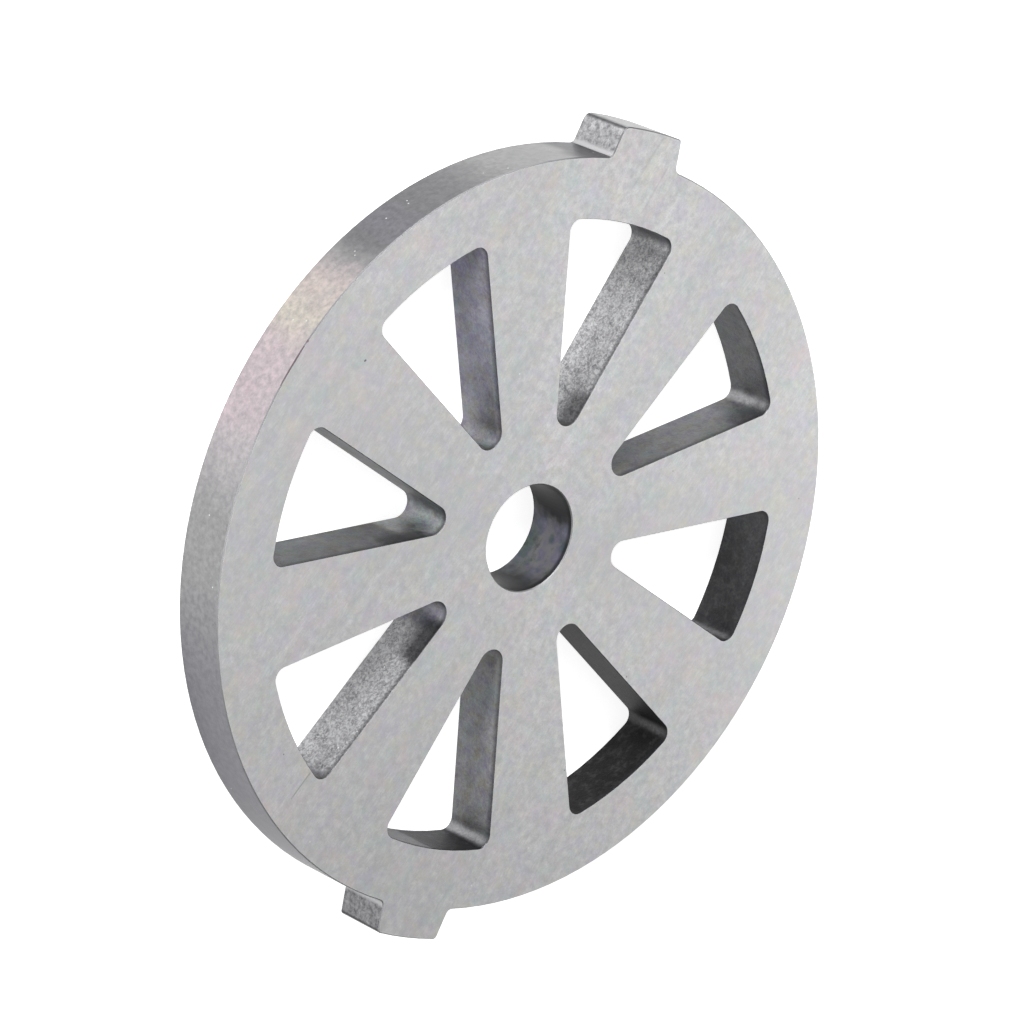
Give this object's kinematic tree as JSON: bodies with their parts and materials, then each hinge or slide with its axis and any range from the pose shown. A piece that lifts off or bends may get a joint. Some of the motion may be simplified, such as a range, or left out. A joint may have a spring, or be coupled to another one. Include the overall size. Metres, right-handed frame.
{
  "type": "meat grinder plate",
  "caption": "Flat round steel plate for a meat grinder, with tapered radial slots, a central bore and locating lugs on its rim.",
  "frame": {"origin": "centre of the rear face, on the axis of the bore", "axes": "+Z along the bore's axis, out of the ground front face; the two lugs point along +Y and -Y"},
  "size_m": [0.0562, 0.0608, 0.0044],
  "materials": {
    "grinder_plate": "flat-ground faces with a straight grain, turned rim and bore, grainy as-cast slot walls"
  },
  "bodies": {
    "root": {"grinder_plate": "grinder_plate"}
  },
  "joints": []
}
